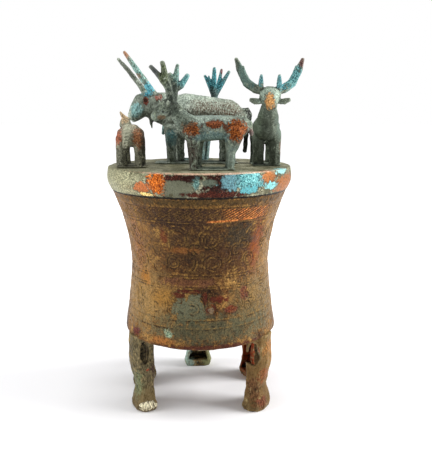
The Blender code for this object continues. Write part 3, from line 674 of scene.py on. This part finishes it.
wear = np.sin(3 * turn_at + 0.07 * high) * np.sin(5 * turn_at - 0.05 * high + 1.0)
depth *= np.clip(0.9 + 0.6 * wear, 0.3, 1) * outer
GROOVE_DEPTH = 0.36
skin[:, 0] -= GROOVE_DEPTH * depth * np.sin(turn_at)
skin[:, 1] += GROOVE_DEPTH * depth * np.cos(turn_at)
move_points(barrel, skin)
roughen(barrel, 18.0, 0.16, seed=7)
roughen(barrel, 5.0, 0.07, seed=8)
store(barrel, "incised", depth)
store(barrel, "groove_glint", groove_glint * outer)
store(barrel, "rubbed", rubbed * outer)
store(barrel, "bright_line", bright_line * outer)
print("incised share of the barrel", round(float((depth > 0.2).mean()), 3))

# %% [markdown]
# The barrel's patina is brown, darker in the middle and more golden at the sides; this is partly painted
# light, as the lamps on both sides light the sides and leave the front in shade. Bright copper still shows in
# the strokes on the right, where the surface was rubbed.

# %% Barrel patina
SKIN = 78
BARREL_PATCHES = [
    # Painted light and shade, partly the barrel's own tone: the first four patches lighten its left and right
    # sides, and the fifth darkens the front between them
    (("#a07a44", "#7a5530"), (-74, SKIN, 172), (36, 30, 60), 0.6, 0.72),
    (("#9a7a4c", "#82623a"), (100, SKIN, 160), (34, 30, 70), 0.5, 0.8),
    (("#ab8a52", "#84693e"), (-60, SKIN, 118), (36, 30, 28), 0.6, 0.75),
    (("#7f6b42", "#6c5836"), (62, SKIN, 116), (34, 30, 28), 0.5, 0.75),
    (("#402b18", "#2a1d12"), (2, SKIN, 178), (44, 30, 36), 0.6, 0.85),
    (("#452b15", "#61401f"), (0, SKIN, 211), (62, 30, 12), 0.6, 0.82),
    (("#38241a", "#291914"), (-17, SKIN, 206), (30, 30, 12), 0.6, 0.88),
    # Painted shadow of the lid, partly brown olive oxide: a darker band just under the seam
    (("#54421f", "#3d2e19"), (0, SKIN, 218.5), (90, 30, 3.5), 0.6, 0.8),
    (("#7b4a2a", "#8f5f36"), (-68, SKIN, 176), (8, 30, 26), 0.4, 0.6),
    (("#9c4c1c", "#6d3315"), (57, SKIN, 174), (9, 30, 22), 0.45, 0.8),
    (("#523319", "#3a2415"), (32, SKIN, 164), (22, 30, 18), 0.6, 0.8),
    (("#38301f", "#2a241a"), (38, SKIN, 186), (17, 30, 11), 0.5, 0.8),
    (("#7a3218", "#5a2814"), (-33, SKIN, 184), (3.4, 30, 7), 0.6, 0.6),
    (("#9a5f28", "#6f4520"), (-16, SKIN, 173), (15, 30, 2.6), 0.6, 0.65),
    (("#b87c2c", "#8c5a20"), (-61, SKIN, 142), (7, 30, 7), 0.5, 0.85),
    (("#6b442c", "#5a3826"), (-12, SKIN, 142), (26, 30, 4.5), 0.3, 0.85),
    (("#a87a34", "#7f5a28"), (-37, SKIN, 126), (14, 30, 8), 0.5, 0.8),
    (("#7b7c62", "#4f523e"), (-8, SKIN, 117), (17, 30, 13), 0.15, 0.9),
    (("#6a2415", "#471a10"), (17, SKIN, 126), (9, 30, 3), 0.25, 0.9),
    (("#7f2d1a", "#561c11"), (29, SKIN, 115), (6, 30, 3.4), 0.2, 0.9),
    (("#5a2a20", "#6f3828"), (45, SKIN, 129), (5, 30, 6), 0.25, 0.85),
    (("#5c2216", "#471a10"), (-20, SKIN, 130), (6, 30, 2.2), 0.2, 0.9),
    (("#5c2216", "#471a10"), (-9, SKIN, 134), (9, 30, 2.0), 0.2, 0.9),
    (("#5c2216", "#471a10"), (4, SKIN, 127), (2.6, 30, 6), 0.2, 0.9),
    (("#6d2c1c", "#4a1d12"), (10, SKIN, 116), (5.4, 30, 5.2), 0.12, 0.92),
    (("#a08a70", "#8a7058"), (10, SKIN, 116), (2.6, 30, 2.4), 0.15, 0.9),
    (("#5e5e45", "#3f4130"), (12, SKIN, 98), (58, 30, 13), 0.6, 0.82),
    (("#7f9a80", "#94ab90"), (-29, SKIN, 93), (4, 30, 3.4), 0.35, 0.8),
    (("#6f2a20", "#54201a"), (-69, SKIN, 86), (6, 30, 4), 0.2, 0.9),
    (("#b5783a", "#8f5a28"), (-36, SKIN, 85), (12, 30, 3.4), 0.4, 0.85),
    (("#5c2a1e", "#43201a"), (12, SKIN, 81), (44, 30, 2.2), 0.3, 0.85),
]
BARREL_SEAM_SHADE = [
    # Painted shade in the seam: a near-black line round the top of the barrel
    (("#15110d", "#0f0c0a"), (0, SKIN, 222.2), (400, 40, 0.8), 0.3, 0.97),
]
# Brown oxide over cast bronze: dark and worn, with a dull golden tone, partly where hands rubbed the high
# parts and partly painted light on the sides
barrel_patina = patina(
    "Cast bronze, brown oxide patina of the barrel",
    [(0.38, "#2a190c"), (0.47, "#553519"), (0.54, "#7a542b"), (0.62, "#a07a42")],
    BARREL_PATCHES,
    light="#b99c64",
    dark="#1d1610",
    blotch=14,
    grain=1.25,
    round_body=MEAN_RADIUS,
    strokes=True,
    painted_light_patches=BARREL_SEAM_SHADE,
    relief=0.7,
    contrast=1.0,
    seed=31.0,
)
barrel.data.materials.clear()
barrel.data.materials.append(barrel_patina)
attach(barrel, "root")
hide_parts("barrel")

# %% [markdown]
# ## Softened castings
# A casting has no sharp arrises, and a thousand years of wear round it more. For the feet and the animals the
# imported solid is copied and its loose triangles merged. A voxel remesh gives it an even skin, and smoothing
# rounds the facets, most on the thick trunks and least on the thin tines.


# %% Copy and soften
def copied(node, name):
    """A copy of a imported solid's mesh, as an object of its own with its triangles merged."""
    item = bpy.data.objects.new(name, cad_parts[node].data.copy())
    bpy.context.scene.collection.objects.link(item)
    item.data.materials.clear()
    only(item)
    bpy.ops.object.mode_set(mode="EDIT")
    bpy.ops.mesh.select_all(action="SELECT")
    bpy.ops.mesh.remove_doubles(threshold=0.01 * MM)
    bpy.ops.object.mode_set(mode="OBJECT")
    return item


def smooth_where(item, weights, repeats):
    """Smooth with a weight from 0 to 1 for each vertex."""
    group = item.vertex_groups.new(name="soft")
    for tenth in range(1, 11):
        chosen = np.nonzero(np.round(np.clip(weights, 0, 1) * 10) == tenth)[0]
        if len(chosen):
            group.add(chosen.tolist(), tenth / 10, "REPLACE")
    apply_modifier(item, "SMOOTH", factor=0.5, iterations=repeats, vertex_group=group.name)
    item.vertex_groups.clear()


def soften(item, voxel_mm, repeats, trunk=None, trunk_repeats=24):
    """Remesh evenly, then smooth all of it, and then more between the two heights of the trunk."""
    apply_modifier(item, "REMESH", mode="VOXEL", voxel_size=voxel_mm * MM)
    apply_modifier(item, "SMOOTH", factor=0.5, iterations=repeats)
    if trunk:
        height = points_of(item)[:, 2]
        inside = np.minimum((height - trunk[0]) / 5 + 1, (trunk[1] - height) / 5 + 1)
        smooth_where(item, inside, trunk_repeats)
    only(item)
    bpy.ops.object.shade_smooth()
    print(item.name, len(item.data.polygons), "faces")
    return item


def dress(item, node, material):
    """Give a piece its patina, and let it stand for its solid."""
    # The hollow depth drives dirt and painted shade in the creases, and a painted highlight on the ridges
    find_hollows(item, 14)
    item.data.materials.append(material)
    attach(item, "root")
    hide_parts(node)


# %% [markdown]
# ## The feet
# Five hollow feet and the stub of the sixth are cut from a copy of the barrel's solid, just under its floor,
# and their tops are extruded up into the floor so that no gap shows.

# %% Feet
CUT_HEIGHT = UNDERSIDE - 0.06
feet = copied("barrel", "feet")
bpy.ops.object.mode_set(mode="EDIT")
bpy.ops.mesh.select_all(action="SELECT")
bpy.ops.mesh.bisect(
    plane_co=(0, 0, CUT_HEIGHT * MM),
    plane_no=(0, 0, 1),
    use_fill=True,
    clear_outer=True,
    threshold=0.001 * MM,
)
bpy.ops.mesh.select_all(action="DESELECT")
shape = bmesh.from_edit_mesh(feet.data)
for face in shape.faces:
    flat = all(vert.co.z > (CUT_HEIGHT - 0.02) * MM for vert in face.verts)
    face.select_set(flat and face.normal.z > 0.9)
bmesh.update_edit_mesh(feet.data)
bpy.ops.mesh.extrude_region_move(TRANSFORM_OT_translate={"value": (0, 0, 2.4 * MM)})
bpy.ops.object.mode_set(mode="OBJECT")
soften(feet, 0.84, 5)
roughen(feet, 9.0, 0.22, seed=2)
roughen(feet, 3.5, 0.1, seed=3)

# Patches on the feet and the animals are placed in millimetres in the frame: x, y, height.
FEET_PATCHES = [
    (("#5e5640", "#6f6548"), (-58, -36, 50), (20, 26, 42), 0.5, 0.8),
    (("#8a3426", "#a0442f"), (-56, -46, 45), (1.5, 4, 1.5), 0.3, 0.9),
    (("#4a3230", "#3b2828"), (-50, -44, 44), (4, 6, 9), 0.3, 0.8),
    (("#85714a", "#6d5d40"), (-58, -44, 12), (18, 14, 14), 0.4, 0.8),
    (("#d6cba6", "#ebe3c6"), (-56, -52, 6.4), (11, 14, 4.6), 0.1, 0.98),
    (("#91703f", "#6a4e2e"), (56, -36, 44), (22, 28, 48), 0.6, 0.8),
    (("#a8834a", "#8c6a3a"), (67, -38, 52), (4, 12, 26), 0.5, 0.7),
    (("#64744f", "#7d8c66"), (-66, -36, 30), (6, 12, 16), 0.5, 0.6),
    # Painted shade: the next two near-black patches fill the hollows at the tops of the two front feet
    (("#15100b", "#0e0b08"), (-60.5, -33.5, 57), (8.6, 8.6, 16), 0.2, 0.95),
    (("#15100b", "#0e0b08"), (54.5, -34.5, 57), (8.6, 8.6, 16), 0.2, 0.95),
    (("#4a2c1c", "#6d4a30"), (50, -48, 24), (7, 9, 12), 0.4, 0.75),
    (("#8a5c30", "#a3743f"), (63, -40, 66), (8, 10, 8), 0.3, 0.8),
    (("#5f2f20", "#7a4630"), (60, -50, 10), (8, 9, 6), 0.3, 0.85),
    (("#76401f", "#8f5433"), (60, -44, 38), (6, 8, 8), 0.3, 0.75),
    (("#b0c8bc", "#8ba99c"), (-17, 58, 22), (7, 16, 30), 0.3, 0.95),
    (("#8f946c", "#74794f"), (8, 58, 20), (9, 16, 30), 0.3, 0.9),
    (("#9c4420", "#7a2c12"), (54, 34, 26), (16, 18, 27), 0.25, 0.95),
    (("#5a6250", "#4c5444"), (54, 34, 66), (16, 18, 13), 0.3, 0.85),
]
# Olive and golden brown oxides, drawn out downwards, so that the legs look streaked and worn
feet_patina = patina(
    "Cast bronze, olive and golden brown patina of the feet",
    [(0.39, "#2c2418"), (0.47, "#57492f"), (0.53, "#7b6945"), (0.6, "#a5936a")],
    FEET_PATCHES,
    light="#a8946a",
    dark="#17120d",
    blotch=10,
    grain=1.2,
    stretch=(1, 1, 0.4),
    relief=0.7,
    contrast=0.95,
    seed=57.0,
)
dress(feet, "barrel", feet_patina)

# %% [markdown]
# ## The animals
# Each animal is softened in the same way, then small forms are pressed in or drawn out: eyes, nostrils,
# folds and ridges. The patches of each patina are placed on its own body. The ox comes first: a humped bull
# with a long trunk, so its trunk is smoothed most. Seven short folds are pressed into its cheek.

# %% Ox
ox = soften(copied("ox", "ox_casting"), 0.75, 5, trunk=(264, 320), trunk_repeats=26)
roughen(ox, 7.0, 0.18, seed=21)
press(ox, (-56, 10.5, 307), (2.8, 4, 2.8), 1.4)
press(ox, (-56, 10.5, 307), (1.3, 4, 1.3), -1.0)
press(ox, (-66, 10, 289), (2.0, 4, 1.6), 1.0)
for step in range(7):
    press(ox, (-64 + 1.3 * step, 9.5, 300 + 1.5 * step), (0.7, 4, 2.8), 0.5)
OX_PATCHES = [
    # Painted shade: the first patch darkens a band of the ox's side just above the front stag's back
    (("#4a473a", "#34332a"), (6, 2, 295), (44, 24, 4), 0.6, 0.8),
    (("#9aa89c", "#a6b0a2"), (-10, 6, 308), (36, 34, 10), 0.5, 0.6),
    (("#6f4a32", "#8f9789"), (0, 6, 301), (12, 20, 6), 0.6, 0.65),
    (("#6a452f", "#8d9587"), (24, 6, 299), (14, 20, 7), 0.6, 0.65),
    (("#6b7468", "#5a6358"), (-60, 10, 304), (12, 12, 14), 0.5, 0.6),
    (("#7fb0b2", "#92c0be"), (-66, 10, 297), (6, 8, 7), 0.3, 0.7),
    (("#5a2418", "#7a3c2b"), (-56, 9.5, 307), (2.2, 6, 4.2), 0.15, 0.95),
    (("#7d3426", "#93483a"), (-43, 3, 311), (4.4, 8, 4.0), 0.2, 0.9),
    (("#3f97ac", "#62b2bf"), (-54, 12, 318), (6, 8, 7), 0.3, 0.9),
    (("#477d78", "#86aca4"), (-64, 6, 334), (9, 8, 15), 0.4, 0.8),
    (("#6d4a34", "#8a5f40"), (-63, 6, 330), (3, 6, 3), 0.3, 0.7),
    (("#a5683f", "#8f5f44"), (-76, 6, 350), (5, 6, 6), 0.3, 0.9),
    (("#3a3e38", "#4b4f44"), (-80, 26, 330), (17, 7, 20), 0.3, 0.9),
    (("#22231f", "#1a1b18"), (46, 18, 276), (7, 6, 34), 0.25, 0.97),
    (("#4c8a92", "#3d727a"), (-31, 6, 270), (6, 12, 8), 0.3, 0.8),
    (("#33362f", "#272923"), (-52, 14, 288), (13, 9, 7), 0.45, 0.7),
    (("#3f463b", "#4d5548"), (-30, 10, 258), (12, 14, 18), 0.4, 0.7),
]
# Pale grey green over brown, finely speckled: the back looks pitted and dusty
ox_patina = patina(
    "Cast bronze, speckled grey green patina of the ox",
    [(0.38, "#4c5247"), (0.47, "#737c6e"), (0.54, "#8e978a"), (0.62, "#a9b1a4")],
    OX_PATCHES,
    light="#aeb5a5",
    dark="#24231d",
    blotch=7,
    grain=1.2,
    stretch=(1, 1, 0.5),
    relief=0.8,
    contrast=0.92,
    seed=11.0,
)
dress(ox, "ox", ox_patina)

# %% [markdown]
# The front stag stands in profile. Its thin tines would melt away if they were smoothed as much as the body,
# so the strong smoothing stops at the height of the neck.

# %% Front stag
front = soften(copied("stag_front", "stag_front_casting"), 0.65, 4, trunk=(262, 297))
roughen(front, 6.0, 0.14, seed=22)
press(front, (-35, -59, 295.5), (1.7, 4, 1.6), 1.0)
press(front, (-45, -57, 292), (1.3, 4, 1.2), 0.8)
press(front, (-43, -57, 288.6), (3.0, 4, 0.6), 0.6)
FRONT_PATCHES = [
    # Painted light: the first patch is a painted highlight along the top of the back, and the second lightens
    # the upper flank, partly its own tone and partly painted top light
    (("#93a298", "#a5b0a6"), (8, -56, 295), (36, 14, 3.2), 0.5, 0.75),
    (("#7f8f86", "#8f9c92"), (2, -56, 288), (42, 16, 8), 0.4, 0.6),
    (("#5f7d7e", "#6d8a88"), (10, -60, 274), (24, 12, 4), 0.4, 0.6),
    (("#3c1907", "#7c4314"), (-11, -64, 281), (8, 8, 6.5), 0.2, 0.97),
    (("#431c08", "#743a12"), (11, -64, 285), (9, 8, 3.2), 0.2, 0.95),
    (("#6a3a1c", "#4f2a14"), (21, -63, 282), (4, 8, 3), 0.25, 0.85),
    (("#451b06", "#8a4a16"), (31, -64, 281), (9, 10, 11), 0.18, 0.98),
    (("#5b3f42", "#6d4a48"), (44, -53, 276), (4, 8, 6), 0.3, 0.8),
    (("#2a302a", "#3a4037"), (-26, -58, 302), (8, 12, 12), 0.5, 0.88),
    (("#3c4439", "#4e5648"), (-17, -60, 290), (9, 10, 8), 0.5, 0.7),
    (("#6b4f34", "#7a5a3c"), (-36, -57, 290), (4, 6, 3), 0.3, 0.7),
    (("#222b2c", "#33303a"), (-42, -61, 329), (8, 5, 10), 0.3, 0.92),
    (("#3a422e", "#525b3e"), (-34, -62, 329), (4.5, 4, 11), 0.3, 0.9),
    (("#4a675f", "#739086"), (-23, -45, 331), (5, 6, 13), 0.3, 0.9),
    (("#41828a", "#69a09e"), (-14, -45, 322), (8, 6, 9), 0.3, 0.9),
    (("#2a312c", "#3c443d"), (-26, -52, 313), (10, 12, 10), 0.5, 0.8),
    (("#2b2721", "#3d332a"), (-14, -58, 258), (10, 14, 17), 0.35, 0.92),
    (("#6f7f76", "#5f6f68"), (26, -58, 256), (9, 12, 12), 0.4, 0.6),
]
# Smooth grey green with three deep rust patches that draw the eye to the flank
front_patina = patina(
    "Cast bronze, green patina with rust of the front stag",
    [(0.38, "#3d4439"), (0.47, "#5f675b"), (0.54, "#78826f"), (0.62, "#929a8c")],
    FRONT_PATCHES,
    light="#b0b7a8",
    dark="#1f1f1a",
    blotch=8,
    grain=1.15,
    relief=0.45,
    contrast=0.75,
    seed=5.0,
)
dress(front, "stag_front", front_patina)

# %% [markdown]
# The right stag faces the viewer, so its eyes and nostrils are pressed in as pairs, mirrored in a short loop.

# %% Right stag
right = soften(copied("stag_right", "stag_right_casting"), 0.65, 4, trunk=(262, 298))
roughen(right, 6.0, 0.14, seed=23)
for side in (-1, 1):
    press(right, (61.7 + side * 6, -46, 311), (1.5, 4, 1.5), 1.0)
    press(right, (61.7 + side * 2.4, -53, 299), (1.1, 4, 1.1), 0.8)
RIGHT_PATCHES = [
    # Painted highlight on the top of the chest
    (("#7d8a7c", "#8f9b8b"), (61, -40, 298), (14, 20, 8), 0.6, 0.5),
    (("#4a5145", "#3c4238"), (61, -30, 282), (12, 30, 22), 0.6, 0.8),
    # Painted side light: the next two patches lighten the left and right of the body
    (("#75826f", "#64705f"), (50, -22, 287), (6, 30, 16), 0.5, 0.75),
    (("#66766c", "#566459"), (75, -22, 285), (6, 30, 14), 0.5, 0.75),
    (("#454a3e", "#353a30"), (61, -30, 256), (18, 30, 16), 0.4, 0.8),
    (("#8a9a8c", "#9bab9c"), (61, -44, 310), (11, 12, 9), 0.35, 0.75),
    (("#a8743e", "#bf9058"), (60, -51, 305), (4.2, 8, 8), 0.2, 0.95),
    (("#2c6a72", "#68a2a2"), (83, -31, 325), (12, 8, 12), 0.4, 0.85),
    (("#4a2f2c", "#6d4a46"), (92, -29, 341), (3.4, 6, 6), 0.25, 0.9),
    (("#5f7a72", "#46605c"), (40, -31, 328), (10, 8, 15), 0.35, 0.8),
    (("#3d747c", "#528a8f"), (53, -36, 325), (4, 6, 6), 0.3, 0.85),
    (("#3f808a", "#5d989e"), (71, -36, 322), (6, 6, 7), 0.3, 0.85),
    (("#2c302a", "#3a3f36"), (30, -30, 336), (4, 8, 12), 0.35, 0.7),
    (("#8b6a5a", "#7a5a4c"), (76, -30, 262), (3, 12, 8), 0.35, 0.5),
]
# Dark, even green with a lighter face and turquoise on the antlers
right_patina = patina(
    "Cast bronze, dark green patina of the right stag",
    [(0.38, "#3a4136"), (0.47, "#596154"), (0.54, "#717a6a"), (0.62, "#8d9685")],
    RIGHT_PATCHES,
    light="#a0a896",
    dark="#191b17",
    blotch=8,
    grain=1.15,
    relief=0.5,
    contrast=0.85,
    seed=83.0,
)
dress(right, "stag_right", right_patina)

# %% [markdown]
# The back stag stands behind the ox, and mostly its antlers show. It is finished more plainly.

# %% Back stag
back = soften(copied("stag_back", "stag_back_casting"), 0.65, 3, trunk=(260, 292))
BACK_PATCHES = [
    (("#225b66", "#478a92"), (14, 54, 330), (14, 14, 13), 0.4, 0.88),
    (("#6d2f34", "#823f44"), (22, 60, 339), (2.6, 6, 4), 0.25, 0.9),
    (("#232c2b", "#33403e"), (12, 50, 312), (8, 12, 9), 0.4, 0.9),
    (("#5a5f48", "#6a6f55"), (-16, 60, 260), (16, 18, 14), 0.4, 0.8),
]
# Turquoise carbonate, brightest on the antlers, which show above the ox
back_patina = patina(
    "Cast bronze, turquoise patina of the back stag",
    [(0.36, "#35433f"), (0.46, "#4d625f"), (0.54, "#617a77"), (0.64, "#7d9590")],
    BACK_PATCHES,
    light="#9fb3a8",
    dark="#18201f",
    blotch=8,
    grain=1.15,
    seed=19.0,
)
dress(back, "stag_back", back_patina)

# %% [markdown]
# The doe is seen from behind. A row of shallow ridges runs down its rump and tail; each is a small press
# inwards, a few millimetres below the last.

# %% Doe
doe = soften(copied("doe_left", "doe_casting"), 0.65, 5, trunk=(256, 288), trunk_repeats=44)
roughen(doe, 6.0, 0.14, seed=25)
for step in range(7):
    press(doe, (-69.5, -46, 261.5 + 3.0 * step), (5.5, 6, 1.2), 1.1)
DOE_PATCHES = [
    (("#9a9480", "#aaa48e"), (-69, -36, 282), (8, 22, 8), 0.4, 0.7),
    (("#a48c6c", "#b59c7a"), (-77, -2, 293), (6, 9, 8), 0.3, 0.85),
    (("#b4b49c", "#9fa48e"), (-69, -42, 276), (3.2, 12, 12), 0.3, 0.75),
    (("#7a3c26", "#96543a"), (-80, -38, 274), (5, 14, 9), 0.35, 0.85),
    (("#7a4422", "#96603a"), (-58, -38, 272), (6, 14, 9), 0.35, 0.85),
    (("#5a2a20", "#43201a"), (-70, -46, 259), (3, 6, 2.4), 0.2, 0.9),
    # Painted shade on the doe's right flank
    (("#2c2d26", "#23241f"), (-53, -30, 268), (5, 18, 24), 0.35, 0.85),
    (("#4f5044", "#5f6052"), (-78, -36, 254), (8, 14, 10), 0.4, 0.6),
]
# Brown green with rust on both haunches and a pale ridge down the tail
doe_patina = patina(
    "Cast bronze, brown green patina of the doe",
    [(0.36, "#4a493c"), (0.46, "#646353"), (0.54, "#787765"), (0.64, "#8d8c76")],
    DOE_PATCHES,
    light="#b3af98",
    dark="#1f1d17",
    blotch=7,
    grain=1.1,
    relief=0.6,
    seed=43.0,
)
dress(doe, "doe_left", doe_patina)
